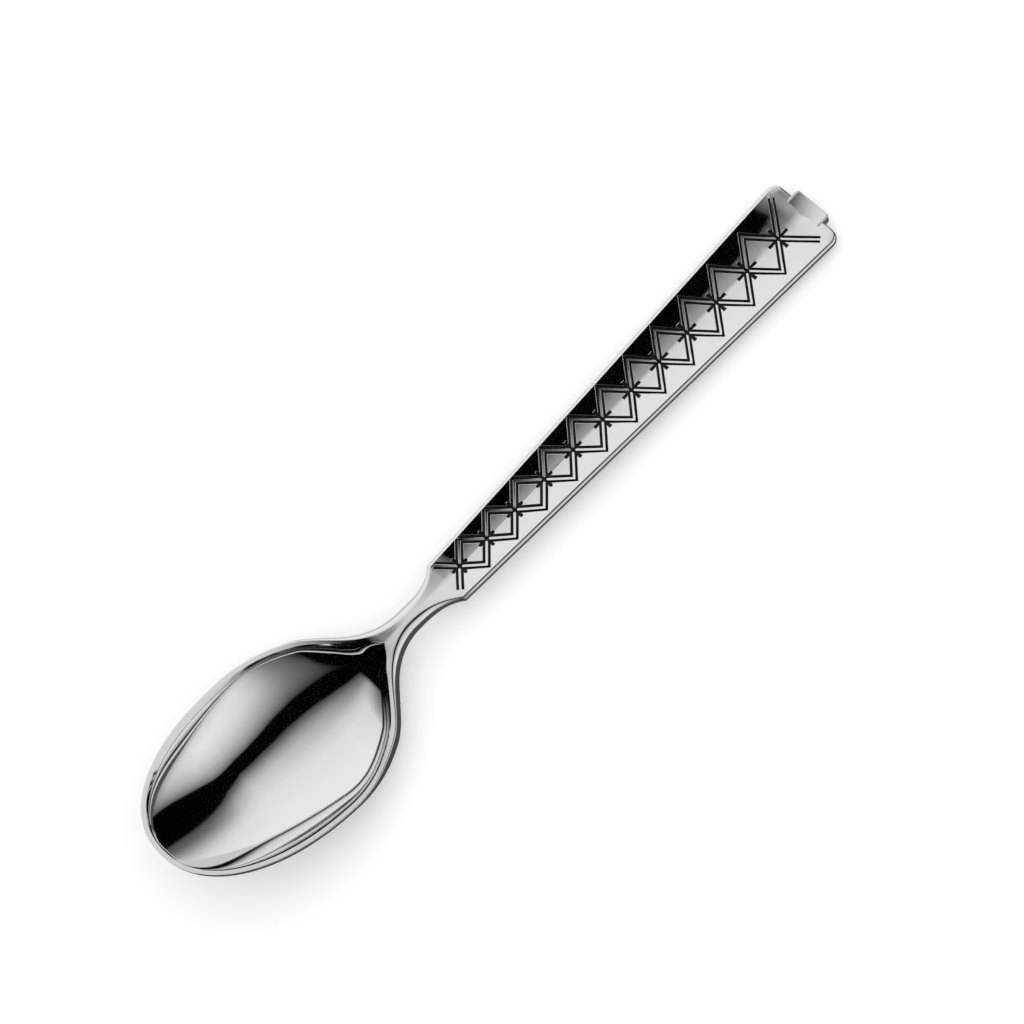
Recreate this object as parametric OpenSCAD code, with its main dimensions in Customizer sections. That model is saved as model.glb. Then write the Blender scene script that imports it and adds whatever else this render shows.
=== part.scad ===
// Coffee spoon in one piece: a deep egg-shaped bowl, a waisted neck and a straight tapering handle.
// The handle's face is a shallow trough with an engraved band of diamonds, and it ends in a small tab.
// Heights are above the table that the spoon rests on, and stations run from the tip of the bowl.

/* [Spoon] */
// Length from the tip of the bowl to the end of the tab
spoon_length = 115; // [105:1:130]
// Height of the tip's rim above the line of the handle's face
tip_rise = 6; // [4.5:0.1:7]
// Slope at which the handle's face comes down to the table
handle_fall = 0.0345; // [0.03:0.0005:0.04]

/* [Bowl] */
// Width of the bowl across the upper edge of its rim
bowl_width = 23.8; // [20:0.2:27]
// Station of the bowl's widest place
bowl_wide_at = 20.6; // [18:0.2:22]
// Station where the bowl's bottom touches the table
bowl_rest_at = 22; // [20:0.5:24]
// Station halfway down the slope of the rim's front
rim_bend_at = 18; // [16:0.5:20]
// Height of the rim there, as a share of the tip's
rim_bend_share = 0.215; // [0.19:0.005:0.24]
// Station where the rim lies lowest, on the line of the handle's face
rim_low_at = 26; // [24:0.5:28]
// Station where the heel's taper has set in
taper_at = 30; // [28:0.2:31]
// Width of the rim there, as a share of the bowl's width
taper_share = 0.751; // [0.72:0.001:0.78]
// Station where the heel draws in to the neck
waist_at = 35; // [34:0.2:36]
// Width of the rim there, as a share of the bowl's width
waist_share = 0.316; // [0.3:0.001:0.36]
// Station of the pointed heel, where the hollow runs out
heel_at = 37.7; // [37:0.1:39]
// Fullness of the bowl's front, where 2 is an ellipse
tip_fullness = 2.18; // [1.9:0.02:2.4]
// Thickness of the bowl at its bottom
bowl_wall = 0.85; // [0.6:0.05:1.2]
// Width of the flat lip round the hollow
lip = 0.6; // [0.4:0.05:0.8]
// Depth to which the lip slopes inwards at the heel
heel_bevel = 1.15; // [0.6:0.05:1.4]
// Thickness of the rim's outer edge at the tip
rim_edge = 0.6; // [0.4:0.05:0.8]

/* [Neck] */
// Height of the neck above the line of the handle's face
neck_rise = 1.25; // [1:0.05:1.6]
// Station of the neck's foot, where its rise sets in
neck_foot_at = 34; // [33:0.2:35]
// Height of the neck's foot above the line of the handle's face
neck_foot_rise = 0.2; // [0:0.05:0.4]
// Station of the narrowest place of the neck
neck_at = 42; // [41:0.2:43.4]
// Width of the flat on top of the neck
neck_flat = 1; // [0.8:0.1:1.6]
// Width that each rounded flank adds to the flat
neck_flank = 1.2; // [1:0.05:1.4]
// Thickness of the neck
neck_thickness = 2.6; // [2.3:0.1:3]

/* [Handle] */
// Station of the sharp shoulders at the root of the handle
shoulder_at = 48.5; // [48:0.1:49.5]
// Width of the handle at its root
root_width = 6.64; // [6:0.02:7.4]
// Width of the handle at its end
end_width = 11.44; // [10.4:0.02:12.4]
// Thickness of the handle at its edges
handle_thickness = 1.94; // [1.7:0.02:2.3]
// Width of the rounded edge along each side
edge_round = 0.5; // [0.35:0.05:0.6]
// Slope of the two wings down to the middle of the face
wing_slope = 0.08; // [0.05:0.01:0.14]
// Radius of the two corners at the end
corner_radius = 1.5; // [0.8:0.1:1.8]

/* [Tab] */
// Length of the tab, from its root in the trough to its outer edge
tab_root = 4.2; // [3.4:0.1:5]
// Width of the tab at the handle's end
tab_width = 5.4; // [4.4:0.2:6.4]
// Length of the tab past the handle's shoulders
tab_reach = 1.05; // [0.8:0.05:1.4]
// Height of the tab above the handle's rounded end
tab_step = 0.35; // [0.25:0.05:0.5]

/* [Engraved band] */
// Spacing of the crossings from neck to end, each against their mean
CROSSING_SPACING = [0.92, 0.96, 1.01, 0.99, 1.02, 0.99, 0.96, 0.97, 1.02, 1.07, 1.09];
// Reach of the corners from neck to end, each against their mean
CORNER_REACH = [1.05, 1.02, 1.01, 1.01, 1.02, 1.01, 0.985, 0.975, 0.98, 0.97, 0.94];
// Distance from the shoulders to the first crossing
band_start = 2.6; // [2.2:0.1:3.2]
// Distance from the last crossing to the handle's end
band_end = 5.3; // [4.8:0.1:6]
// Length along the handle of the open lines past the last crossing
arm_length = 3.4; // [2.8:0.1:3.5]
// Reach of the open lines at both ends, as a share of the face's half width
arm_reach = 0.815; // [0.75:0.005:0.83]
// Mean reach of the corners, as a share of the face's half width
band_reach = 0.757; // [0.7:0.001:0.78]
// Sideways set of the band at its first crossing
band_set = 0.3; // [0:0.02:0.4]
// Sideways set of the band at its last crossing
band_end_set = 0.2; // [0:0.02:0.3]
// Distance between the two grooves of a line
groove_spacing = 0.6; // [0.55:0.01:0.7]
// Width of each groove
groove_width = 0.32; // [0.24:0.02:0.36]
// Depth of the grooves
groove_depth = 0.22; // [0.15:0.01:0.3]
// Length of the four strokes at each crossing
stroke_length = 1.5; // [1.2:0.1:1.7]
// Width of a stroke at its round end
stroke_width = 0.46; // [0.36:0.02:0.56]

/* [Hidden] */

handle_end = spoon_length - tab_reach;
bowl_half = bowl_width / 2;
flat_half = neck_flat / 2;
// Line of the handle's face, which the other heights are counted from
function face_line(x) = handle_thickness + handle_fall * (handle_end - x);

// Smooth curve through stations, each [place, value, slope], held level past both ends
function on_span(a, b, x) =
    let (run = b[0] - a[0], t = (x - a[0]) / run)
    a[1] * (1 + 2 * t) * pow(1 - t, 2) + a[2] * run * t * pow(1 - t, 2)
    + b[1] * t * t * (3 - 2 * t) - b[2] * run * t * t * (1 - t);
function curve(stations, x, i = 0) =
    x <= stations[0][0] ? stations[0][1]
    : i >= len(stations) - 1 ? stations[i][1]
    : x <= stations[i + 1][0] ? on_span(stations[i], stations[i + 1], x)
    : curve(stations, x, i + 1);

// Side view: rim, neck and face above the face's line
neck_crest_at = neck_at - 1;
RISE = [
    [0, tip_rise, -0.23],
    [rim_bend_at, rim_bend_share * tip_rise, -0.245],
    [rim_low_at, 0, -0.02],
    [neck_foot_at, neck_foot_rise, 0.14],
    [neck_crest_at, neck_rise, 0],
    [shoulder_at, 0, 0]
];
function top_line(x) = face_line(x) + curve(RISE, x);
tip_height = top_line(0);

// Side view: the underside, which touches the table under the bowl and at the handle's end.
// Its front and back points lie halfway from the resting place to the tip and to the neck.
front_share = 0.19;
back_share = 0.48;
front_at = bowl_rest_at / 2;
front_keel = front_share * tip_height;
back_at = (bowl_rest_at + neck_at) / 2 + 1;
neck_keel = top_line(neck_at) - neck_thickness;
back_keel = back_share * neck_keel;
root_keel = face_line(shoulder_at) - handle_thickness;
KEEL = [
    [0, tip_height - rim_edge, -1.25],
    [front_at, front_keel, -0.49],
    [bowl_rest_at, 0, 0],
    [back_at, back_keel, 0.27],
    [neck_at, neck_keel, 0],
    [shoulder_at, root_keel, -handle_fall]
];
function keel(x) = x > shoulder_at ? face_line(x) - handle_thickness : curve(KEEL, x);

// Side view: how far the hollow's edge lies below the rim, which is a flat lip up to the heel's bevel
BEVEL = [
    [rim_low_at, 0, 0],
    [waist_at, heel_bevel, 0],
    [heel_at, heel_bevel, -0.15],
    [neck_at, 0, 0]
];
// Side view: the floor of the hollow, from the lip at the tip to the pointed heel.
// The wall is a fifth thicker behind the resting place.
back_wall = 1.2 * bowl_wall;
FLOOR = [
    [lip, top_line(lip), -1.4],
    [front_at, front_keel + bowl_wall, -0.52],
    [bowl_rest_at, bowl_wall, 0],
    [back_at, back_keel + back_wall, 0.3],
    [heel_at, top_line(heel_at) - heel_bevel, 0.6]
];

// Plan view: half width of the rim and of the face, out to the upper edge of the flank
taper_half = taper_share * bowl_half;
waist_half = waist_share * bowl_half;
HEEL_SIDE = [
    [bowl_wide_at, bowl_half, 0],
    [taper_at, taper_half, -0.05 * bowl_half],
    [waist_at, waist_half, -0.0885 * bowl_half],
    [neck_at, flat_half, 0]
];
NECK_SIDE = [
    [neck_at, flat_half, 0],
    [shoulder_at, root_width / 2 - edge_round, 0.85]
];
function bowl_front(x) =
    bowl_half * pow(1 - pow(1 - x / bowl_wide_at, tip_fullness), 1 / tip_fullness);
function full_half(x) =
    root_width / 2 + (end_width - root_width) / 2 * (x - shoulder_at) / (handle_end - shoulder_at);
function corner_cut(x) =
    let (past = max(x - (handle_end - corner_radius), 0))
    corner_radius - sqrt(max(pow(corner_radius, 2) - past * past, 0));
function top_half(x) =
    x < bowl_wide_at ? bowl_front(x)
    : x < neck_at ? curve(HEEL_SIDE, x)
    : x < shoulder_at ? curve(NECK_SIDE, x)
    : full_half(x) - edge_round - corner_cut(x);

// The flank: how far it stands out past the upper edge, and how far down its widest place lies
neck_drop = 0.59 * neck_thickness;
handle_drop = 0.22 * handle_thickness;
FLANK = [
    [0, 0.08, 0],
    [bowl_wide_at, 0.1, 0],
    [taper_at, 0.36 * neck_flank, 0.055],
    [waist_at, 0.83 * neck_flank, 0.05],
    [neck_at, neck_flank, 0],
    [shoulder_at, edge_round, 0]
];
DROP = [
    [0, 0.28, 0],
    [bowl_wide_at, 0.35, 0],
    [taper_at, 0.88 * neck_drop, 0.07],
    [waist_at, neck_drop, 0],
    [neck_at, neck_drop, 0],
    [shoulder_at, handle_drop, 0]
];
// Fullness of the underside's section, where 2 is an ellipse
FULLNESS = [
    [0, 2, 0],
    [rim_bend_at, 1.8, 0],
    [taper_at, 2.55, 0],
    [neck_at, 2.1, 0],
    [shoulder_at, 2.8, 0]
];

// The end of the face rolls down to the end surface
end_roll = 0.45;
function roll_down(x) =
    let (past = max(x - (handle_end - end_roll), 0))
    end_roll - sqrt(max(end_roll * end_roll - past * past, 0));
// Depth of the face's middle below its two edges
function trough(x) = x < neck_at ? 0 : wing_slope * top_half(x);

flank_steps = 5;
under_steps = 9;
dish_steps = 9;
// Half width of the hollow: it opens inside the rim at the tip and closes to a point at the heel,
// where the lip is a fifth wider
heel_lip = 1.2 * lip;
HOLLOW_SIDE = [
    [bowl_wide_at, bowl_half - lip, 0],
    [taper_at, taper_half - heel_lip, -0.055 * bowl_half],
    [waist_at, waist_half - heel_lip, -0.093 * bowl_half],
    [heel_at, 0, -2]
];
function hollow_front(x) =
    let (back = (bowl_wide_at - x) / (bowl_wide_at - lip))
    (bowl_half - lip) * pow(max(1 - pow(back, tip_fullness), 0), 1 / tip_fullness);
function hollow_half(x) =
    x <= lip || x >= heel_at ? 0
    : x < bowl_wide_at ? hollow_front(x)
    : curve(HOLLOW_SIDE, x);
dish_fullness = 2.2;

// One cross-section as [y, z] points, half of it: the upper edge, the flank and the underside
function half_section(x, side) =
    let (
        half = top_half(x),
        top = top_line(x) - roll_down(x),
        depth = top - keel(x),
        out = curve(FLANK, x),
        drop = min(curve(DROP, x), 0.5 * depth),
        power = 2 / curve(FULLNESS, x)
    )
    concat(
        [for (i = [0:flank_steps]) let (a = 90 * i / flank_steps)
            [side * (half + out * sin(a)), top - drop * (1 - cos(a))]],
        [for (i = [1:under_steps]) let (a = 90 * i / under_steps)
            [side * (half + out) * pow(max(cos(a), 0), power),
             top - drop - (depth - drop) * pow(sin(a), power)]]
    );
// The hollow from right to left, which draws together to one point in the middle of neck and handle
function dish_section(x) =
    let (
        half = hollow_half(x),
        top = top_line(x) - roll_down(x) - trough(x) - (x < neck_at ? curve(BEVEL, x) : 0),
        deep = half > 0 ? top - curve(FLOOR, x) : 0,
        power = 2 / dish_fullness
    )
    [for (i = [-dish_steps:dish_steps]) let (a = 90 * i / dish_steps)
        [half * sign(a) * pow(abs(sin(a)), power), top - deep * pow(max(cos(a), 0), power)]];
function reversed(list) = [for (i = [len(list) - 1:-1:0]) list[i]];
function section(x) =
    let (right = half_section(x, -1))
    concat(dish_section(x), half_section(x, 1), [for (i = [len(right) - 2:-1:0]) right[i]]);

// Solid through a row of closed sections that all have as many points
module loft(stations, rings) {
    count = len(rings[0]);
    last = len(stations) - 1;
    points = [for (k = [0:last]) for (p = rings[k]) [stations[k], p[0], p[1]]];
    sides = [
        for (k = [0:last - 1]) for (i = [0:count - 1])
            let (a = k * count + i, b = k * count + (i + 1) % count)
            each [[a, b, a + count], [b, b + count, a + count]]
    ];
    caps = [
        reversed([for (i = [0:count - 1]) i]),
        [for (i = [0:count - 1]) last * count + i]
    ];
    polyhedron(points = points, faces = concat(sides, caps), convexity = 6);
}

rim_steps = 4;
bowl_steps = 20;
heel_steps = 24;
neck_steps = 6;
root_steps = 10;
corner_steps = 5;
corner_from = handle_end - corner_radius;
STATIONS = concat(
    [for (i = [0:rim_steps - 1]) lip * pow(i / rim_steps, 2)],
    [for (i = [0:bowl_steps]) lip + (bowl_wide_at - lip) * (1 - cos(90 * i / bowl_steps))],
    [for (i = [1:heel_steps]) heel_at - (heel_at - bowl_wide_at) * pow(1 - i / heel_steps, 1.4)],
    [for (i = [1:neck_steps]) heel_at + (neck_at - heel_at) * i / neck_steps],
    [for (i = [1:root_steps]) neck_at + (shoulder_at - neck_at) * i / root_steps],
    [for (i = [0:corner_steps]) corner_from + corner_radius * sin(90 * i / corner_steps)]
);

// The whole spoon before its face is engraved
module blank() {
    loft(STATIONS, [for (x = STATIONS) section(x)]);
}

// Stations of the crossings, spread between the two ends of the band
function running_sum(list, n) = n <= 0 ? 0 : list[n - 1] + running_sum(list, n - 1);
crossings = len(CROSSING_SPACING) + 1;
first_crossing = shoulder_at + band_start;
last_crossing = handle_end - band_end;
function crossing(i) =
    let (all = running_sum(CROSSING_SPACING, crossings - 1))
    first_crossing + (last_crossing - first_crossing) * running_sum(CROSSING_SPACING, i) / all;
function corner_at(i) = (crossing(i) + crossing(i + 1)) / 2;
function band_middle(x) =
    band_set + (band_end_set - band_set) * (x - first_crossing) / (last_crossing - first_crossing);
function corner_half(i) =
    band_reach * CORNER_REACH[i] * (full_half(corner_at(i)) - edge_round);

// The open lines before the first crossing start at the shoulders, and those past the last one stop short
arm_end = last_crossing + arm_length;
function arm_half(x) = arm_reach * (full_half(x) - edge_round);

// One zigzag line of the band, in plan, on the side given by 1 or -1
function band_point(x, half) = [x, band_middle(x) + half];
function zigzag(side) = concat(
    [band_point(shoulder_at, side * arm_half(shoulder_at))],
    [for (i = [0:crossings - 2]) each [
        band_point(crossing(i), 0),
        band_point(corner_at(i), side * corner_half(i))
    ]],
    [band_point(last_crossing, 0), band_point(arm_end, side * arm_half(arm_end))]
);
// Slanting lines that lie a given distance apart are shifted by more than that across the handle
middle_crossing = floor(crossings / 2);
band_slant = atan2(corner_half(middle_crossing), corner_at(middle_crossing) - crossing(middle_crossing));
module groove_line(side, offset) {
    line = zigzag(side);
    half_cut = groove_width / 2 / cos(band_slant);
    shift = side * offset / cos(band_slant);
    polygon(concat(
        [for (p = line) p + [0, shift + half_cut]],
        reversed([for (p = line) p + [0, shift - half_cut]])
    ));
}

// The two grooves of a line: the inner one stays on its own side, just past the middle
middle_overlap = 0.03;
module band_side(side) {
    bound = -side * middle_overlap;
    groove_line(side, groove_spacing / 2);
    intersection() {
        groove_line(side, -groove_spacing / 2);
        polygon([
            [shoulder_at, band_middle(shoulder_at) + bound],
            [handle_end, band_middle(handle_end) + bound],
            [handle_end, side * end_width],
            [shoulder_at, side * end_width]
        ]);
    }
}

// A hub where the lines cross, with four strokes that widen to round ends
hub_width = 0.55;
module crossing_star(i) {
    growth = full_half(crossing(i)) / full_half(crossing(middle_crossing));
    reach = stroke_length * sqrt(growth) - stroke_width / 2;
    translate([crossing(i), band_middle(crossing(i))]) {
        circle(d = hub_width, $fn = 8);
        for (turn = [0:90:270])
            rotate(turn)
                hull() {
                    circle(d = stroke_width / 2, $fn = 6);
                    translate([reach, 0])
                        circle(d = stroke_width, $fn = 8);
                }
    }
}

// Layer just under the face, as deep as the grooves are
clear_above = 3;
FACE_STATIONS = [shoulder_at, corner_from];
module face_layer() {
    loft(FACE_STATIONS, [for (x = FACE_STATIONS) let (
            half = end_width,
            top = top_line(x),
            low = top + (half - top_half(x)) * wing_slope - groove_depth,
            middle = top - trough(x) - groove_depth
        ) [[0, middle], [-half, low], [-half, top + clear_above], [half, top + clear_above], [half, low]]]);
}

module engraving() {
    intersection() {
        linear_extrude(height = tip_height)
            intersection() {
                union() {
                    band_side(1);
                    band_side(-1);
                    for (i = [0:crossings - 1])
                        crossing_star(i);
                }
                face_outline();
            }
        face_layer();
    }
}

// Plan of the face inside its rounded edges, which the grooves stay within
module face_outline() {
    stations = [shoulder_at, corner_from];
    margin = 0.08;
    polygon(concat(
        [for (x = stations) [x, top_half(x) - margin]],
        reversed([for (x = stations) [x, margin - top_half(x)]])
    ));
}

// Tab that stands out past the handle's end and rises out of the face's trough
tab_edge = 0.35;
tab_under = 0.3;
module tab() {
    top = face_line(spoon_length) - trough(corner_from) + tab_step;
    root_top = face_line(spoon_length - tab_root) - trough(corner_from) - tab_edge / 2;
    hull() {
        translate([spoon_length - tab_root, -tab_width / 2 + tab_edge, tab_under])
            cube([tab_edge, tab_width - 2 * tab_edge, root_top - tab_under]);
        for (side = [-1, 1])
            translate([spoon_length - tab_edge, side * (tab_width / 2 - tab_edge), tab_under]) {
                translate([0, 0, tab_edge / 4])
                    cylinder(h = top - tab_under - tab_edge / 2, r = tab_edge, $fn = 24);
                cylinder(h = top - tab_under, r = 0.7 * tab_edge, $fn = 24);
            }
    }
}

module coffee_spoon() {
    color("silver")
        translate([-spoon_length / 2, 0, 0])
            difference() {
                union() {
                    blank();
                    tab();
                }
                engraving();
            }
}

coffee_spoon();
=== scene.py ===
import math

import bmesh
import bpy
import numpy as np
from mathutils import Matrix, Vector
from mathutils.geometry import delaunay_2d_cdt


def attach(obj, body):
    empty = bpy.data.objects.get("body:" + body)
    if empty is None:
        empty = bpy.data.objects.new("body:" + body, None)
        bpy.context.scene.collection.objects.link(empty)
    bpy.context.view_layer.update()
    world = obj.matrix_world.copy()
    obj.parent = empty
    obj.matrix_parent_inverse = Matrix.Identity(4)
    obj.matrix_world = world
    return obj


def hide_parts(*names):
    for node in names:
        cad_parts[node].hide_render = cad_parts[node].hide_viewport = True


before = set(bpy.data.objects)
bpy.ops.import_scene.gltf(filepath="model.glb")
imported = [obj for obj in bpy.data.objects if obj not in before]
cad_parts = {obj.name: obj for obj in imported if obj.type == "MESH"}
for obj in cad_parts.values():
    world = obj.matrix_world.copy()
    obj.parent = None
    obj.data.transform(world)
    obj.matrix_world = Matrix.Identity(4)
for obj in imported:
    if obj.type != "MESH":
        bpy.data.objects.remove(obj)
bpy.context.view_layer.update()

# Every length here is in millimetres, and stations run from the tip of the bowl
MM = 0.001
LENGTH = 115.0

# Handle
TAB_REACH = 1.05
HANDLE_END = LENGTH - TAB_REACH
HANDLE_THICKNESS = 1.94
HANDLE_FALL = 0.0345
EDGE_ROUND = 0.5
SHOULDER_AT = 48.5
ROOT_HALF = 3.32
END_HALF = 5.72
CORNER_RADIUS = 1.5
CORNER_FROM = HANDLE_END - CORNER_RADIUS
END_ROLL = 0.45

# Neck and bowl
NECK_AT = 42.0
NECK_HALF = 0.5
NECK_DEPTH = 2.6
HEEL_AT = 37.7
HEEL_BEVEL = 0.05
BOWL_WIDE_AT = 20.6
BOWL_HALF = 11.88
BOWL_WALL = 0.85
TIP_FULLNESS = 2.18
TIP_DEPTH = 0.6
LIP = 0.6
# Distances over which the top line and the keel are evened out, and where the top's evening ends
TOP_SPREAD = 0.8
KEEL_SPREAD = 0.5
TOP_EVEN_UNTIL = SHOULDER_AT - 2.5

# Slopes of the face outside the band, near its middle and near its edges
WING_NEAR = [(48.5, 0.05), (49.5, 0.06), (50.5, 0.1), (51.5, 0.14), (52.5, 0.15), (80.0, 0.15),
             (98.0, 0.115), (107.0, 0.115), (109.0, 0.105), (110.5, 0.085), (111.5, 0.068), (112.5, 0.06)]
WING_FAR = [(48.5, 0.06), (49.5, 0.07), (50.5, 0.11), (51.5, 0.155), (52.5, 0.17), (107.0, 0.17),
            (109.0, 0.15), (110.5, 0.11), (111.5, 0.085), (112.5, 0.075)]
WING_BEND = 0.5
# Stretches in which those slopes change, and the step between the lines drawn across the face there
SLOPE_CHANGES = [(49.0, 53.0), (106.5, 112.2)]
SLOPE_STEP = 0.5
# Slopes inside the diamonds, at the middle and what each half width adds, on the left and on the right
INSIDE_LEFT = (0.05, 0.095)
INSIDE_RIGHT = (0.02, 0.12)
# Length at both ends of the face over which the slopes inside the diamonds set in
INSIDE_FADE = 1.5

# Engraved band of diamonds along the handle
CROSSING_SPACING = [0.92, 0.96, 1.01, 0.99, 1.02, 0.99, 0.96, 0.97, 1.02, 1.07, 1.09]
CORNER_REACH = [1.05, 1.02, 1.01, 1.01, 1.02, 1.01, 0.985, 0.975, 0.98, 0.97, 0.94]
FIRST_CROSSING = SHOULDER_AT + 2.6
LAST_CROSSING = HANDLE_END - 5.3
ARM_START = SHOULDER_AT + 0.45
ARM_END = LAST_CROSSING + 3.3
ARM_REACH = 0.815
# Half the length of the cut across an open end of the band, and how far it stays inside the face
ARM_CUT_HALF = 0.55
ARM_CUT_INSIDE = 0.02
BAND_REACH = 0.757
BAND_SET = 0.3
BAND_END_SET = 0.2
GROOVE_SPACING = 0.6
GROOVE_DEPTH = 0.22
STROKE_LENGTH = 1.5
STROKE_HALF = 0.23
STROKE_ROOT = 0.13
HUB_RADIUS = 0.27
# The first strokes end round, the others square
ROUND_STROKES = 4
# Distance from a groove's middle, and the share of its depth there
GROOVE_PROFILE = ([0.11, 0.155, 0.19], [1.0, 0.1, 0.0])
# Distance outside a stroke's outline, and the share of its depth there
STROKE_PROFILE = ([-0.045, 0.0, 0.03], [1.0, 0.1, 0.0])
# Width of the plain border that the engraving leaves along the face's edge
FACE_MARGIN = 0.05
# Distance by which a line of the band is carried on past its ends
LINE_EXTRA = 0.4
# Share of the depth from which the engraving is dark
DARK_SHARE = 0.52

# Tab that stands out past the handle's end and rises out of the trough
TAB_ROOT = 2.9
TAB_HALF = 2.7
TAB_EDGE = 0.4
TAB_ROUND = 0.14
TAB_UNDER = 0.3
# Height of the tab's top in its middle, and how much it rises sideways
TAB_TOP = [[LENGTH - TAB_ROOT, 1.58, 0.04], [LENGTH - 0.9, 1.8, 0.06], [LENGTH, 1.84, 0]]
TAB_SLOPE = 0.05

# Points of a cross-section: on the dish with its steep wall, the lip, the flank and the underside
DISH_STEPS, WALL_STEPS, LIP_STEPS, FLANK_STEPS, UNDER_STEPS = 50, 6, 6, 10, 34
TOP_POINTS = DISH_STEPS + LIP_STEPS
# Angles from which an edge of the mesh is sharp, inside the face and elsewhere
FACE_SHARP = math.radians(10)
BODY_SHARP = math.radians(28)
# Lines along the wings: how many, the share of the way out of the outermost, and their inset at the ends
WING_LINES = 13
WING_LINES_OUT = 0.9
WING_LINES_INSET = 0.002
# Smallest distance that counts, in millimetres and in metres
NEARLY = 1e-6
SAME_PLACE = 1e-7


# Smooth curve through stations, each with its place, value and slope
def curve(stations, x):
    table = np.asarray(stations, float)
    place, value, slope = table[:, 0], table[:, 1], table[:, 2]
    x = np.clip(np.asarray(x, float), place[0], place[-1])
    i = np.clip(np.searchsorted(place, x, side="right") - 1, 0, len(place) - 2)
    run = place[i + 1] - place[i]
    t = (x - place[i]) / run
    return (value[i] * (1 + 2 * t) * (1 - t) ** 2 + slope[i] * run * t * (1 - t) ** 2
            + value[i + 1] * t * t * (3 - 2 * t) - slope[i + 1] * run * t * t * (1 - t))


# Weighted mean of a function round each place, which evens out its curvature
def even(function, x, spread):
    offsets = np.linspace(-2.5, 2.5, 21)
    weights = np.exp(-offsets ** 2 / 2)
    weights /= weights.sum()
    x = np.asarray(x, float)
    return sum(w * function(x + spread * o) for w, o in zip(weights, offsets))


# Quarter of a superellipse, from the bowl's tip to its widest station
def tip_curve(x, start, half):
    back = np.clip((BOWL_WIDE_AT - x) / (BOWL_WIDE_AT - start), 0, 1)
    return half * np.maximum(1 - back ** TIP_FULLNESS, 0) ** (1 / TIP_FULLNESS)


# Straight line of the handle's top, carried on over the bowl
def face_line(x):
    return HANDLE_THICKNESS + HANDLE_FALL * (HANDLE_END - np.asarray(x, float))


# Height of the rim and the neck above that line
RISE = [[0, 6, -0.23], [18, 1.29, -0.245], [26, 0, -0.02], [34, 0.2, 0.14], [41, 1.25, 0], [SHOULDER_AT, 0, 0]]


# Past the tip the line goes on with its slope, so that evening it out leaves the tip's height
def top_line(x):
    x = np.asarray(x, float)
    return face_line(x) + curve(RISE, x) + RISE[0][2] * np.minimum(x, 0)


def soft_top(x):
    x = np.asarray(x, float)
    return np.where(x < TOP_EVEN_UNTIL, even(top_line, x, TOP_SPREAD), top_line(x))


TIP_HEIGHT = float(top_line(0))
LIP_HEIGHT = float(top_line(LIP))
NECK_KEEL = float(top_line(NECK_AT)) - NECK_DEPTH
ROOT_KEEL = float(face_line(SHOULDER_AT)) - HANDLE_THICKNESS
# Lowest line of the underside
KEEL = [[0, TIP_HEIGHT - TIP_DEPTH, -1.25], [11, 0.19 * TIP_HEIGHT, -0.49], [22, 0, 0],
        [33, 0.48 * NECK_KEEL, 0.27], [NECK_AT, NECK_KEEL, 0], [SHOULDER_AT, ROOT_KEEL, -HANDLE_FALL]]


def keel_line(x):
    return curve(KEEL, x) + KEEL[0][2] * np.minimum(x, 0)


def keel(x):
    x = np.asarray(x, float)
    handle = face_line(x) - HANDLE_THICKNESS
    return np.where(x > SHOULDER_AT, handle, np.maximum(even(keel_line, x, KEEL_SPREAD), 0.0))


# Lowest line of the hollow, from the lip's inner edge at the tip to the heel
FLOOR = [[LIP, LIP_HEIGHT, -8], [LIP + 0.25, LIP_HEIGHT - 0.95, -0.9],
         [11, 0.19 * TIP_HEIGHT + BOWL_WALL, -0.52], [22, BOWL_WALL, 0],
         [33, 0.48 * NECK_KEEL + 1.02, 0.3], [HEEL_AT, float(top_line(HEEL_AT)) - HEEL_BEVEL, 0.6]]
# Half width of the top behind the bowl's widest station, and along the neck
HEEL_SIDE = [[BOWL_WIDE_AT, BOWL_HALF, 0], [30, 8.937, -0.595], [35, 3.76, -1.053], [NECK_AT, NECK_HALF, 0]]
NECK_SIDE = [[NECK_AT, NECK_HALF, 0], [SHOULDER_AT, ROOT_HALF - EDGE_ROUND, 0.85]]
# How far the flank stands out past the top's edge, how far down it does so, and the underside's fullness
FLANK = [[0, 0.08, 0], [BOWL_WIDE_AT, 0.1, 0], [30, 0.432, 0.055], [35, 0.996, 0.05],
         [NECK_AT, 1.2, 0], [SHOULDER_AT, EDGE_ROUND, 0]]
DROP = [[0, 0.28, 0], [BOWL_WIDE_AT, 0.35, 0], [30, 1.35, 0.07], [35, 1.534, 0],
        [NECK_AT, 1.534, 0], [SHOULDER_AT, 0.427, 0]]
DROP_MOST = 0.5
FULLNESS = [[0, 2.0, 0], [18, 1.8, 0], [30, 2.55, 0], [NECK_AT, 2.1, 0], [SHOULDER_AT, 2.8, 0]]
# Height of the steep wall just inside the lip, the width that it takes up in plan, and the most of both
WALL = [[LIP, 0.7, 0], [12, 0.45, 0], [24, 0.45, 0], [33, 0.15, -0.03], [HEEL_AT, 0, 0]]
WALL_RUN = 0.22
WALL_MOST = 0.85
WALL_RUN_MOST = 0.4
# The two powers of the dish's section below the wall
DISH_FULLNESS = 2.3
DISH_ROUND = 0.75
# How far the lip leans into the hollow, and the hollow's half width behind the widest station
BEVEL = [[26, 0, 0], [35, HEEL_BEVEL, 0], [HEEL_AT, HEEL_BEVEL, 0], [NECK_AT, 0, 0]]
HOLLOW_SIDE = [[BOWL_WIDE_AT, BOWL_HALF - LIP, 0], [30, 8.217, -0.6545], [35, 3.04, -1.107], [HEEL_AT, 0, -2]]


def full_half(x):
    share = (np.asarray(x, float) - SHOULDER_AT) / (HANDLE_END - SHOULDER_AT)
    return ROOT_HALF + (END_HALF - ROOT_HALF) * share


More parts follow.
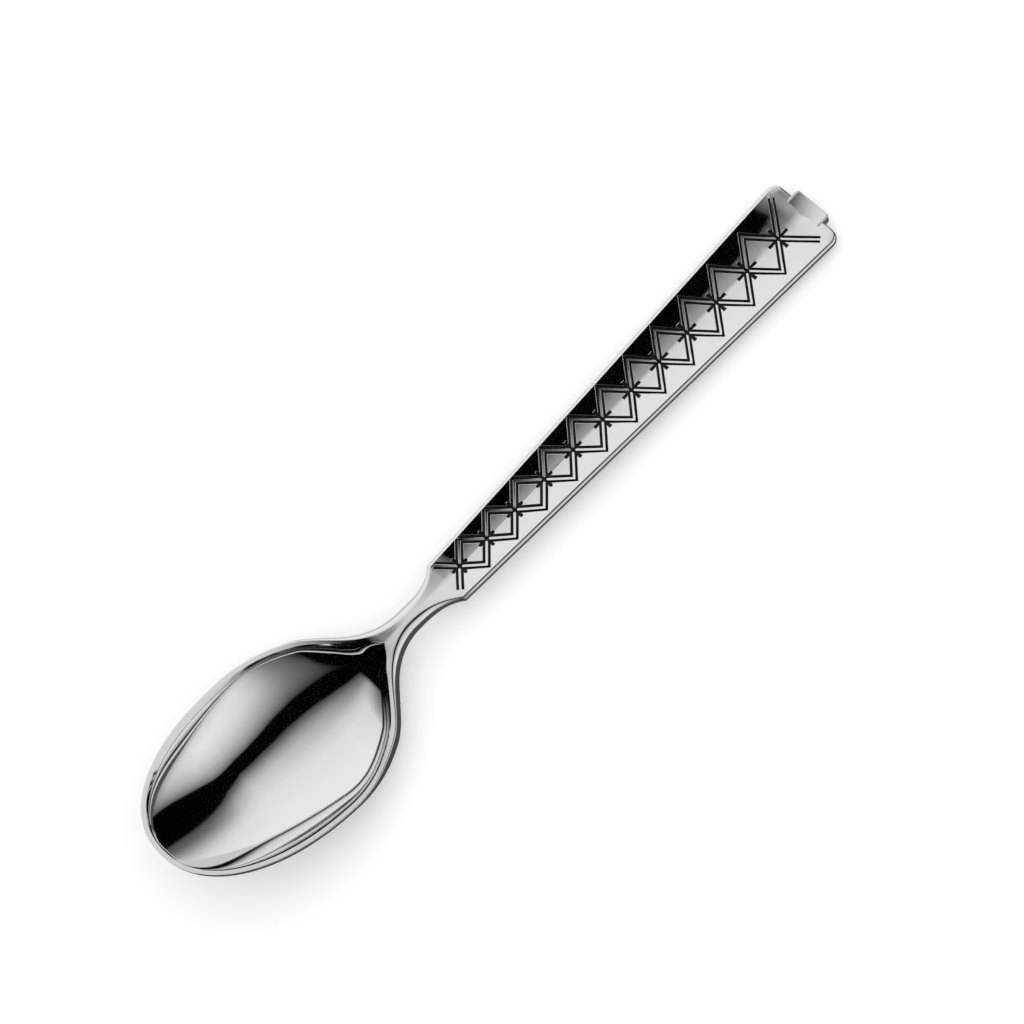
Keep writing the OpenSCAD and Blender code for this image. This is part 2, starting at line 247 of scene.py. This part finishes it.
def top_half(x):
    x = np.asarray(x, float)
    past = np.maximum(x - CORNER_FROM, 0)
    cut = CORNER_RADIUS - np.sqrt(np.maximum(CORNER_RADIUS ** 2 - past ** 2, 0))
    handle = full_half(x) - EDGE_ROUND - cut
    behind = np.where(x < NECK_AT, curve(HEEL_SIDE, x), np.where(x < SHOULDER_AT, curve(NECK_SIDE, x), handle))
    return np.where(x < BOWL_WIDE_AT, tip_curve(x, 0, BOWL_HALF), behind)


def hollow_half(x):
    x = np.asarray(x, float)
    half = np.where(x < BOWL_WIDE_AT, tip_curve(x, LIP, BOWL_HALF - LIP), curve(HOLLOW_SIDE, x))
    return np.where((x <= LIP) | (x >= HEEL_AT), 0.0, half)


# The handle's end rolls down to its end surface
def roll_down(x):
    past = np.clip(np.asarray(x, float) - (HANDLE_END - END_ROLL), 0, END_ROLL)
    return END_ROLL - np.sqrt(END_ROLL ** 2 - past ** 2)


# Line of the band's crossings, on which the face's two wings meet
def band_middle(x):
    return BAND_SET + (BAND_END_SET - BAND_SET) * (x - FIRST_CROSSING) / (LAST_CROSSING - FIRST_CROSSING)


# Share of the way from the neck to the shoulder
def root_share(x):
    return np.clip((np.asarray(x, float) - NECK_AT) / (SHOULDER_AT - NECK_AT), 0, 1)


def ease(t):
    return t * t * (3 - 2 * t)


def fold_line(x):
    return root_share(x) * band_middle(x)


# Height of a wing above the fold for a share of the way out to its edge, in half widths
def wing_rise(x, across):
    near = np.interp(x, *zip(*WING_NEAR))
    far = np.interp(x, *zip(*WING_FAR))
    return near * np.minimum(across, WING_BEND) + far * np.maximum(across - WING_BEND, 0)


def trough(x):
    return ease(root_share(x)) * wing_rise(x, 1.0) * top_half(x)


# One cross-section as a ring of points, from the middle of the hollow round the left side
def section(x):
    half, top, low = float(top_half(x)), float(soft_top(x) - roll_down(x)), float(keel(x))
    depth = top - low
    out = float(curve(FLANK, x))
    drop = min(float(curve(DROP, x)), DROP_MOST * depth)
    power = 2 / float(curve(FULLNESS, x))
    turns = np.linspace(0, math.pi / 2, FLANK_STEPS + 1)
    flank = np.stack([half + out * np.sin(turns), top - drop * (1 - np.cos(turns))], 1)
    turns = np.linspace(0, math.pi / 2, UNDER_STEPS + 1)[1:]
    cosines = np.maximum(np.cos(turns), 0)
    cosines[-1] = 0
    under = np.stack([(half + out) * cosines ** power,
                      top - drop - (depth - drop) * np.sin(turns) ** power], 1)
    inner = float(hollow_half(x))
    blend = np.linspace(0, 1, LIP_STEPS + 1)
    if x < NECK_AT:
        fold, edge_z, rise = 0.0, top - float(curve(BEVEL, x)), blend
    else:
        fold, edge_z = float(fold_line(x)), top - float(trough(x))
        rise = wing_rise(x, blend) / wing_rise(x, 1.0)
    deep = edge_z - float(curve(FLOOR, x)) if inner > 0 else 0.0
    wall = min(float(curve(WALL, x)), WALL_MOST * deep)
    run = min(WALL_RUN, WALL_RUN_MOST * inner)
    shares = np.sin(np.linspace(0, math.pi / 2, DISH_STEPS + 1 - WALL_STEPS))
    turns = np.linspace(0, math.pi / 2, WALL_STEPS + 1)[1:]
    low_z = edge_z - wall - (deep - wall) * np.maximum(1 - shares ** DISH_FULLNESS, 0) ** DISH_ROUND
    dish_y = np.concatenate([(inner - run) * shares, inner - run * np.cos(turns)])
    dish_z = np.concatenate([low_z, edge_z - wall + wall * (1 - np.cos(turns))])

    def half_ring(side):
        middle = side * fold
        lip = np.stack([inner + middle + (half - inner - middle) * blend, edge_z + (top - edge_z) * rise], 1)
        dish = np.stack([middle + dish_y, dish_z], 1)
        return np.concatenate([dish, lip[1:], flank[1:], under]) * [side, 1]

    return np.concatenate([half_ring(1), half_ring(-1)[1:-1][::-1]])


# Stations of the cross-sections, closest together where the form turns fastest
def stations():
    rim = LIP * (np.linspace(0, 1, 9)[:-1]) ** 2
    front = LIP + (BOWL_WIDE_AT - LIP) * (1 - np.cos(np.linspace(0, math.pi / 2, 70)))
    heel = np.linspace(BOWL_WIDE_AT, HEEL_AT, 90)[1:]
    neck = np.linspace(HEEL_AT, NECK_AT, 26)[1:]
    root = np.linspace(NECK_AT, SHOULDER_AT, 37)[1:]
    handle = np.linspace(SHOULDER_AT, CORNER_FROM, 33)[1:]
    corner = CORNER_FROM + CORNER_RADIUS * np.sin(np.linspace(0, math.pi / 2, 15))[1:]
    return np.concatenate([rim, front, heel, neck, root, handle, corner])


# Stations and half heights of the zigzag between the two grooves of a line, and the crossings
def band_line():
    steps = np.concatenate([[0], np.cumsum(CROSSING_SPACING)])
    crossings = FIRST_CROSSING + (LAST_CROSSING - FIRST_CROSSING) * steps / steps[-1]
    corners = (crossings[1:] + crossings[:-1]) / 2
    places = np.empty(2 * len(crossings) + 1)
    places[0], places[-1] = ARM_START, ARM_END
    places[1:-1:2], places[2:-1:2] = crossings, corners
    heights = np.zeros(len(places))
    heights[2:-1:2] = BAND_REACH * np.asarray(CORNER_REACH) * (full_half(corners) - EDGE_ROUND)
    for k in (0, -1):
        heights[k] = ARM_REACH * (full_half(places[k]) - EDGE_ROUND)
    return places, heights, crossings


LINE_AT, LINE_HALF, CROSSINGS = band_line()
# A line's slope in the middle of the band turns distances across it into heights
MIDDLE = len(CROSSINGS) // 2
LINE_RUN = LINE_AT[2 * MIDDLE + 2] - LINE_AT[2 * MIDDLE + 1]
BAND_COS = math.cos(math.atan2(LINE_HALF[2 * MIDDLE + 2], LINE_RUN))
# Place, length and kind of the strokes at each crossing
STROKES = [(x, STROKE_LENGTH * math.sqrt(float(full_half(x) / full_half(CROSSINGS[MIDDLE]))), k < ROUND_STROKES)
           for k, x in enumerate(CROSSINGS)]


# A line of the band carried on at both ends
def longer(places, values):
    start = values[0] - LINE_EXTRA * (values[1] - values[0]) / (places[1] - places[0])
    end = values[-1] + LINE_EXTRA * (values[-1] - values[-2]) / (places[-1] - places[-2])
    return (np.concatenate([[places[0] - LINE_EXTRA], places, [places[-1] + LINE_EXTRA]]),
            np.concatenate([[start], values, [end]]))


# Distance outside a stroke's outline, for points along and across it
def outside_stroke(along, across, length, is_round):
    end = length - STROKE_HALF
    width = STROKE_ROOT + (STROKE_HALF - STROKE_ROOT) * np.clip(along / end, 0, 1)
    side = np.maximum(np.abs(across) - width, -along)
    if is_round:
        return np.where(along > end, np.hypot(along - end, across) - STROKE_HALF, side)
    return np.maximum(side, along - length)


# Direction of the open lines at one end of the band, which are cut square to it
def arm_run(k):
    inner = 1 if k == 0 else -2
    run = np.array([LINE_AT[inner] - LINE_AT[k], LINE_HALF[inner] - LINE_HALF[k]])
    return run / np.hypot(*run)


# Distance from that cut into the band
def arm_left(k, x, across):
    run = arm_run(k)
    return (x - LINE_AT[k]) * run[0] + (across - LINE_HALF[k]) * run[1]


# Share of the full depth that the engraving has at points of the face
def engraved(x, y):
    across = np.abs(y - band_middle(x))
    off_line = (across - np.interp(x, *longer(LINE_AT, LINE_HALF))) * BAND_COS
    shift = GROOVE_SPACING / 2
    share = np.interp(np.minimum(np.abs(off_line - shift), np.abs(off_line + shift)), *GROOVE_PROFILE)
    for place, length, is_round in STROKES:
        along, aside = x - place, y - band_middle(place)
        for a, b in ((along, aside), (-along, aside), (aside, along), (-aside, along)):
            share = np.maximum(share, np.interp(outside_stroke(a, b, length, is_round), *STROKE_PROFILE))
        share = np.maximum(share, np.interp(np.hypot(along, aside) - HUB_RADIUS, *STROKE_PROFILE))
    edge = (top_half(x) - FACE_MARGIN - np.abs(y)) / FACE_MARGIN
    ends = [arm_left(k, x, across) / FACE_MARGIN for k in (0, -1)]
    return share * np.clip(np.minimum(edge, np.minimum(*ends)), 0, 1)


# Height of the face before the engraving is cut
def face_height(x, y):
    fold = fold_line(x)
    left = y > fold
    width = top_half(x) - np.where(left, fold, -fold)
    across = np.clip(np.abs(y - fold) / width, 0, 1)
    outside = wing_rise(x, across)
    first, more = (np.where(left, a, b) for a, b in zip(INSIDE_LEFT, INSIDE_RIGHT))
    inside = first * across + more * across ** 2 / 2
    band_edge = np.interp(x, *longer(LINE_AT, LINE_HALF)) + GROOVE_SPACING / 2 / BAND_COS
    in_band = np.abs(y - band_middle(x)) < band_edge
    settled = np.clip(np.minimum(x - SHOULDER_AT, CORNER_FROM - x) / INSIDE_FADE, 0, 1)
    share = np.where(in_band, ease(settled), 0.0)
    rise = ease(root_share(x)) * top_half(x) * (outside + share * (inside - outside))
    return top_line(x) - trough(x) + rise


# Adds to a line of values the places where it crosses a bound
def crossed(places, values, bound):
    x, v = [places[0]], [values[0]]
    for k in range(len(places) - 1):
        a, b = values[k] - bound[k], values[k + 1] - bound[k + 1]
        if a * b < 0:
            t = a / (a - b)
            x.append(places[k] + t * (places[k + 1] - places[k]))
            v.append(values[k] + t * (values[k + 1] - values[k]))
        x.append(places[k + 1])
        v.append(values[k + 1])
    return np.asarray(x), np.asarray(v)


# The parts of a line, given by its heights above the band's middle, that lie on one side of it
def parts_on_side(places, values, side):
    run = []
    for place, value in zip(places, values):
        if value > -NEARLY:
            run.append((place, float(band_middle(place)) + side * max(value, 0.0)))
        if value < NEARLY and len(run) > 1:
            yield run
            run = [run[-1]] if abs(value) < NEARLY else []
        elif value < -NEARLY:
            run = []
    if len(run) > 1:
        yield run


# Border of the face, with the points that its ends share with the cross-sections
def border_line(places):
    blend = np.linspace(0, 1, LIP_STEPS + 1)

    def across(x):
        half, fold = float(top_half(x)), float(fold_line(x))
        left = fold + (half - fold) * blend
        right = fold - (half + fold) * blend
        return np.concatenate([right[::-1], left[1:]])

    first, last, between = places[0], places[-1], places[1:-1]
    one_way = [(first, y) for y in across(first)] + [(x, float(top_half(x))) for x in between]
    way_back = [(last, y) for y in across(last)[::-1]] + [(x, -float(top_half(x))) for x in between[::-1]]
    return one_way + way_back


# Lines that carry the form of the wings
def wing_lines(first, last):
    inset = (last - first) * WING_LINES_INSET
    ends = np.array([first + inset, last - inset])
    for share in np.linspace(-WING_LINES_OUT, WING_LINES_OUT, WING_LINES):
        side = 1 if share > 0 else -1
        y = fold_line(ends) + share * (top_half(ends) - side * fold_line(ends))
        yield list(zip(ends, y))
    for x in np.concatenate([np.arange(*stretch, SLOPE_STEP) for stretch in SLOPE_CHANGES]):
        reach = float(top_half(x)) - FACE_MARGIN
        yield [(x, -reach), (x, reach)]
    for margin in (FACE_MARGIN, 2 * FACE_MARGIN):
        for side in (1, -1):
            yield [(x, side * float(top_half(x) - margin)) for x in ends]


# Lines across the open ends of the band, where its grooves come up to the face
def arm_lines(first, last):
    for k in (0, -1):
        run = arm_run(k)
        for step in (0, FACE_MARGIN):
            for side in (1, -1):
                cut = []
                for aside in (-ARM_CUT_HALF, ARM_CUT_HALF):
                    x = LINE_AT[k] + run[0] * step - run[1] * aside
                    v = LINE_HALF[k] + run[1] * step + run[0] * aside
                    bound = float(top_half(x)) - FACE_MARGIN - side * float(band_middle(x))
                    if v > bound:
                        t = (v - bound) / abs(run[0])
                        x, v = x + t * run[1] * (1 if aside > 0 else -1), bound
                    x = min(max(x, first + ARM_CUT_INSIDE), last - ARM_CUT_INSIDE)
                    cut.append((x, float(band_middle(x)) + side * v))
                yield cut


# Lines along the grooves, held to the band's middle and to the plain border of the face
def groove_lines():
    offsets = [sign * distance for distance in GROOVE_PROFILE[0] for sign in (1, -1)]
    for centre in (GROOVE_SPACING / 2, -GROOVE_SPACING / 2):
        for offset in offsets:
            places, values = longer(LINE_AT, LINE_HALF + (centre + offset) / BAND_COS)
            x, v = crossed(places, values, np.zeros(len(values)))
            for side in (1, -1):
                xs, vs = crossed(x, v, top_half(x) - FACE_MARGIN - side * band_middle(x))
                vs = np.minimum(vs, top_half(xs) - FACE_MARGIN - side * band_middle(xs))
                yield from parts_on_side(xs, vs, side)


# Half outline of a stroke that runs along x, made wider by a distance
def stroke_outline(length, is_round, grow):
    end = length - STROKE_HALF
    wide, narrow = STROKE_HALF + grow, STROKE_ROOT + grow
    if is_round:
        turns = np.linspace(-math.pi / 2, math.pi / 2, 11)
        cap = [(end + wide * math.cos(t), wide * math.sin(t)) for t in turns]
    else:
        cap = [(end, -wide), (length + grow, -wide), (length + grow, wide), (end, wide)]
    return [(0.0, -narrow)] + cap + [(0.0, narrow)]


# Outlines of the strokes and hubs, each with whether it is closed
def stroke_lines():
    turns = np.linspace(0, 2 * math.pi, 17)[:-1]
    for place, length, is_round in STROKES:
        middle = float(band_middle(place))
        for grow in STROKE_PROFILE[0]:
            outline = stroke_outline(length, is_round, grow)
            for ax, ay in ((1, 0), (0, 1), (-1, 0), (0, -1)):
                yield [(place + ax * a - ay * b, middle + ay * a + ax * b) for a, b in outline], False
            radius = HUB_RADIUS + grow
            yield [(place + radius * math.cos(t), middle + radius * math.sin(t)) for t in turns], True


# The handle's face as triangles: the engraving's edges are lines of its plan
def face_patch(places):
    points, edges = [], []

    def line(run, closed=False):
        start = len(points)
        points.extend(Vector((float(x), float(y))) for x, y in run)
        edges.extend((start + k, start + k + 1) for k in range(len(run) - 1))
        if closed:
            edges.append((len(points) - 1, start))

    first, last = places[0], places[-1]
    line(border_line(places), closed=True)
    for runs in (wing_lines(first, last), arm_lines(first, last), groove_lines()):
        for run in runs:
            line(run)
    for run, closed in stroke_lines():
        line(run, closed)
    flat, _, triangles = delaunay_2d_cdt(points, edges, [], 1, 1e-5)[:3]
    x = np.array([p.x for p in flat], float)
    y = np.array([p.y for p in flat], float)
    share = engraved(x, y)
    return x, y, face_height(x, y) - GROOVE_DEPTH * share, triangles, share


# Stations and cross-sections of the tab
def tab_rings():
    places = list(np.linspace(LENGTH - TAB_ROOT, LENGTH - TAB_EDGE, 14))
    places += list(LENGTH - TAB_EDGE + TAB_EDGE * np.sin(np.linspace(0, math.pi / 2, 11))[1:])
    turns = np.linspace(0, math.pi / 2, 7)
    rings = []
    for x in places:
        past = max(x - (LENGTH - TAB_EDGE), 0.0)
        half = TAB_HALF - TAB_EDGE + math.sqrt(max(TAB_EDGE ** 2 - past ** 2, 0.0))
        near_end = max(x - (LENGTH - TAB_ROUND), 0.0)
        base = float(curve(TAB_TOP, x))
        base -= TAB_ROUND - math.sqrt(max(TAB_ROUND ** 2 - near_end ** 2, 0.0))

        def top(y):
            return base + TAB_SLOPE * y * y / TAB_HALF

        flat = half - TAB_ROUND
        half_rings = []
        for side in (1, -1):
            inner = [(side * share * flat, top(side * share * flat)) for share in np.linspace(0, 1, 9)[:-1]]
            edge = top(side * flat)
            over = [(side * (flat + TAB_ROUND * math.sin(t)), edge - TAB_ROUND + TAB_ROUND * math.cos(t))
                    for t in turns]
            down = [(side * half, (edge + TAB_UNDER) / 2), (side * half, TAB_UNDER),
                    (side * half / 2, TAB_UNDER), (0.0, TAB_UNDER)]
            half_rings.append(inner + over + down)
        rings.append(half_rings[0] + half_rings[1][1:-1][::-1])
    return places, rings


# Faces between neighbouring rings of points, and the caps at both ends
def loft_faces(start, count, places, skipped):
    faces = []
    for k in range(len(places) - 1):
        for i in range(count):
            if not skipped(places[k], i):
                j = (i + 1) % count
                faces.append((start + k * count + i, start + k * count + j,
                              start + (k + 1) * count + j, start + (k + 1) * count + i))
    faces.append([start + i for i in range(count)][::-1])
    faces.append([start + (len(places) - 1) * count + i for i in range(count)])
    return faces


# Joins the patch to the loft, and makes edges sharp by their angle and along the face's border
def join_and_sharpen(mesh, plain):
    work = bmesh.new()
    work.from_mesh(mesh)
    of_face = work.faces.layers.int.new("face_patch")
    for face in work.faces:
        face[of_face] = int(face.index >= plain)
        face.smooth = True
    bmesh.ops.remove_doubles(work, verts=work.verts, dist=SAME_PLACE)
    bmesh.ops.dissolve_degenerate(work, edges=work.edges, dist=SAME_PLACE / 10)
    bmesh.ops.delete(work, geom=[v for v in work.verts if not v.link_faces], context="VERTS")
    bmesh.ops.recalc_face_normals(work, faces=work.faces)
    for edge in work.edges:
        along = abs(edge.verts[0].co.x - edge.verts[1].co.x) > 0.01 * MM
        border = len({face[of_face] for face in edge.link_faces}) > 1
        limit = FACE_SHARP if all(face[of_face] for face in edge.link_faces) else BODY_SHARP
        edge.smooth = edge.calc_face_angle(0.0) < limit and not (along and border)
    work.faces.layers.int.remove(of_face)
    work.to_mesh(mesh)
    work.free()


def body_mesh():
    places = stations()
    rings = [section(x) for x in places]
    count = len(rings[0])
    points = [(x - LENGTH / 2, y, z) for x, ring in zip(places, rings) for y, z in ring]

    def on_face(x, i):
        along = SHOULDER_AT - NEARLY < x < CORNER_FROM - NEARLY
        return along and (i < TOP_POINTS or i >= count - TOP_POINTS)

    faces = loft_faces(0, count, places, on_face)
    tab_places, tab = tab_rings()
    faces += loft_faces(len(points), len(tab[0]), tab_places, lambda x, i: False)
    points += [(x - LENGTH / 2, y, z) for x, ring in zip(tab_places, tab) for y, z in ring]
    inside = (places > SHOULDER_AT - NEARLY) & (places < CORNER_FROM + NEARLY)
    x, y, z, triangles, share = face_patch(places[inside])
    start, plain = len(points), len(faces)
    points += list(zip(x - LENGTH / 2, y, z))
    faces += [tuple(start + i for i in triangle) for triangle in triangles]
    dark = [int(sum(share[i] for i in triangle) / 3 > DARK_SHARE) for triangle in triangles]
    mesh = bpy.data.meshes.new("spoon_body")
    mesh.from_pydata([(MM * a, MM * b, MM * c) for a, b, c in points], [], faces)
    mesh.polygons.foreach_set("material_index", [0] * plain + dark)
    join_and_sharpen(mesh, plain)
    return mesh


# Sets a node's inputs, each to a value or to another node's output
def set_inputs(tree, node, inputs):
    for key, value in inputs.items():
        if isinstance(value, bpy.types.NodeSocket):
            tree.links.new(value, node.inputs[key])
        else:
            node.inputs[key].default_value = value


def add_node(tree, kind, inputs):
    node = tree.nodes.new("ShaderNode" + kind)
    set_inputs(tree, node, inputs)
    return node


def math_node(tree, operation, *values):
    node = add_node(tree, "Math", dict(enumerate(values)))
    node.operation = operation
    return node.outputs[0]


def new_material(name):
    material = bpy.data.materials.new(name)
    material.use_nodes = True
    return material, material.node_tree, material.node_tree.nodes["Principled BSDF"]


# Polished metal with fine wiping scratches and faint unevenness
def metal():
    material, tree, shader = new_material("polished_metal")
    coords = add_node(tree, "TexCoord", {})
    stretch = add_node(tree, "Mapping", {"Vector": coords.outputs["Object"], "Scale": (900, 9000, 9000),
                                         "Rotation": (0, 0, 0.4)})
    scratch = add_node(tree, "TexNoise", {"Vector": stretch.outputs["Vector"], "Scale": 1.0, "Detail": 4})
    rough = add_node(tree, "MapRange", {"Value": scratch.outputs["Fac"], "From Min": 0.35, "From Max": 0.75,
                                        "To Min": 0.03, "To Max": 0.08})
    bump = add_node(tree, "Bump", {"Height": scratch.outputs["Fac"], "Strength": 0.04, "Distance": 0.00002})
    set_inputs(tree, shader, {"Base Color": (0.90, 0.90, 0.895, 1), "Metallic": 1.0,
                              "Roughness": rough.outputs["Result"], "Normal": bump.outputs["Normal"]})
    return material


# Dark tarnish on the floors of the engraving
def oxidised():
    material, tree, shader = new_material("oxidised_engraving")
    coords = add_node(tree, "TexCoord", {})
    grain = add_node(tree, "TexNoise", {"Vector": coords.outputs["Object"], "Scale": 2500, "Detail": 3})
    tone = add_node(tree, "ValToRGB", {"Fac": grain.outputs["Fac"]})
    stops = ((0.35, (0.006, 0.006, 0.007, 1)), (0.75, (0.03, 0.03, 0.032, 1)))
    for stop, (place, colour) in zip(tone.color_ramp.elements, stops):
        stop.position, stop.color = place, colour
    set_inputs(tree, shader, {"Base Color": tone.outputs["Color"], "Metallic": 0.6, "Roughness": 0.55})
    return material


body = bpy.data.objects.new("spoon_body", body_mesh())
bpy.context.scene.collection.objects.link(body)
body.data.materials.append(metal())
body.data.materials.append(oxidised())
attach(body, "root")
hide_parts("coffee_spoon")

# Half the floor's width in metres, and its grey
FLOOR_HALF = 3.0
FLOOR_GREY = (0.93, 0.93, 0.93, 1)
# Light added to the floor where the camera sees it, so that it comes out white
FLOOR_LIFT = 0.2
# Grey of the floor in the metal: from and to these distances left of the spoon's middle, in metres
FLOOR_TONE = {"From Min": -0.006, "From Max": 0.006, "To Min": 0.08, "To Max": 0.62}


# White floor, which the metal sees darker on the right than on the left
def floor():
    mesh = bpy.data.meshes.new("floor")
    corners = [(a * FLOOR_HALF, b * FLOOR_HALF, 0) for a, b in ((-1, -1), (1, -1), (1, 1), (-1, 1))]
    mesh.from_pydata(corners, [], [(0, 1, 2, 3)])
    item = bpy.data.objects.new("floor", mesh)
    bpy.context.scene.collection.objects.link(item)
    material, tree, shader = new_material("floor_white")
    rays = add_node(tree, "LightPath", {})
    coords = add_node(tree, "TexCoord", {})
    split = add_node(tree, "SeparateXYZ", {"Vector": coords.outputs["Object"]})
    tone = add_node(tree, "MapRange", {"Value": split.outputs["Y"], **FLOOR_TONE})
    tone.interpolation_type = "SMOOTHSTEP"
    mix = add_node(tree, "Mix", {"Factor": rays.outputs["Is Glossy Ray"], 6: FLOOR_GREY,
                                 7: tone.outputs["Result"]})
    mix.data_type = "RGBA"
    lift = math_node(tree, "MULTIPLY", rays.outputs["Is Camera Ray"], FLOOR_LIFT)
    set_inputs(tree, shader, {"Base Color": mix.outputs[2], "Roughness": 0.9, "Specular IOR Level": 0.0,
                              "Emission Color": (1, 1, 1, 1), "Emission Strength": lift})
    mesh.materials.append(material)


floor()

# Soft boxes on both sides with a dark gap overhead, seen by the metal; the floor gets even light
# Sideways direction of the gap's two edges, against the direction along the spoon
GAP_LEFT = [(-0.4, 0.19), (-0.2, 0.115), (0.05, 0.055), (0.3, 0.0), (0.6, -0.01), (0.8, 0.09), (1.0, 0.3)]
GAP_RIGHT = [(-0.4, -0.14), (0.0, -0.16), (0.3, -0.215), (0.55, -0.23), (0.8, -0.17), (1.0, -0.18)]
# Light of the boxes, from the gap outwards
LEFT_BOX = [(0.0, 0.0), (0.015, 0.06), (0.07, 0.15), (0.15, 0.36), (0.22, 0.54), (0.3, 0.69), (0.42, 0.8),
            (0.8, 0.88)]
RIGHT_BOX = [(0.0, 0.0), (0.02, 0.14), (0.1, 0.33), (0.2, 0.52), (0.35, 0.72), (0.5, 0.86), (0.8, 0.92)]
# Share of that light from the bowl's end of the room to the handle's
LEFT_FADE = [(-0.62, 0.0), (-0.5, 0.45), (-0.4, 0.9), (-0.2, 1.0)]
RIGHT_FADE = [(-0.62, 0.0), (-0.5, 0.12), (-0.3, 0.26), (-0.1, 0.46), (0.1, 0.7), (0.3, 0.88), (0.6, 1.0)]
# Share of the right box's light by height above the floor
RIGHT_FOOT = [(0.0, 0.5), (0.12, 0.85), (0.35, 1.0)]


# Piecewise straight function of an output's value, through a colour ramp that spans the table
def ramp(tree, value, table):
    low, high = table[0][0], table[-1][0]
    least = min(level for _, level in table)
    scaled = math_node(tree, "DIVIDE", math_node(tree, "SUBTRACT", value, low), high - low)
    node = add_node(tree, "ValToRGB", {"Fac": scaled})
    stops = node.color_ramp.elements
    stops[0].color = (table[0][1] - least,) * 3 + (1,)
    stops[-1].color = (table[-1][1] - least,) * 3 + (1,)
    for place, level in table[1:-1]:
        stops.new((place - low) / (high - low)).color = (level - least,) * 3 + (1,)
    return math_node(tree, "ADD", node.outputs["Color"], least)


def studio():
    world = bpy.data.worlds.new("studio")
    bpy.context.scene.world = world
    world.use_nodes = True
    tree = world.node_tree
    coords = add_node(tree, "TexCoord", {})
    along, aside, up = add_node(tree, "SeparateXYZ", {"Vector": coords.outputs["Generated"]}).outputs
    left = ramp(tree, math_node(tree, "SUBTRACT", aside, ramp(tree, along, GAP_LEFT)), LEFT_BOX)
    right = ramp(tree, math_node(tree, "SUBTRACT", ramp(tree, along, GAP_RIGHT), aside), RIGHT_BOX)
    left = math_node(tree, "MULTIPLY", left, ramp(tree, along, LEFT_FADE))
    right = math_node(tree, "MULTIPLY", right, ramp(tree, along, RIGHT_FADE))
    right = math_node(tree, "MULTIPLY", right, ramp(tree, up, RIGHT_FOOT))
    glossy = add_node(tree, "LightPath", {}).outputs["Is Glossy Ray"]
    seen_light = math_node(tree, "MULTIPLY", math_node(tree, "MAXIMUM", left, right), glossy)
    even_light = math_node(tree, "SUBTRACT", 1.0, glossy)
    set_inputs(tree, tree.nodes["Background"], {"Color": (1, 1, 1, 1),
                                                "Strength": math_node(tree, "ADD", seen_light, even_light)})


studio()

# Camera's turn about the vertical, its angle below the horizon and its roll
VIEW_TURN, VIEW_RISE, VIEW_ROLL = 0.39313, 1.25713, math.radians(-25)
# Camera's distance, the point that it looks at, and the photograph's scale there
VIEW_DISTANCE = 650.0
VIEW_TARGET = Vector((60.9 - LENGTH / 2, 1.3066, 0))
PIXELS_PER_MM = 8.057
PHOTO_PIXELS = 1024
SENSOR_WIDTH = 36


# Camera at the photograph's view
def camera():
    right = Vector((math.cos(VIEW_TURN), -math.sin(VIEW_TURN), 0))
    ahead = Vector((math.sin(VIEW_TURN), math.cos(VIEW_TURN), 0))
    look = math.cos(VIEW_RISE) * ahead - math.sin(VIEW_RISE) * Vector((0, 0, 1))
    up = math.sin(VIEW_RISE) * ahead + math.cos(VIEW_RISE) * Vector((0, 0, 1))
    side = math.cos(VIEW_ROLL) * right + math.sin(VIEW_ROLL) * up
    head = -math.sin(VIEW_ROLL) * right + math.cos(VIEW_ROLL) * up
    lens = bpy.data.cameras.new("photo_view")
    lens.sensor_width = SENSOR_WIDTH
    lens.sensor_fit = "AUTO"
    lens.lens = PIXELS_PER_MM * VIEW_DISTANCE / PHOTO_PIXELS * SENSOR_WIDTH
    lens.clip_start = 0.01
    item = bpy.data.objects.new("photo_view", lens)
    bpy.context.scene.collection.objects.link(item)
    placed = Matrix((side, head, -look)).transposed().to_4x4()
    placed.translation = (VIEW_TARGET - VIEW_DISTANCE * look) * MM
    item.matrix_world = placed
    bpy.context.scene.camera = item


camera()
bpy.context.scene.view_settings.view_transform = "Standard"
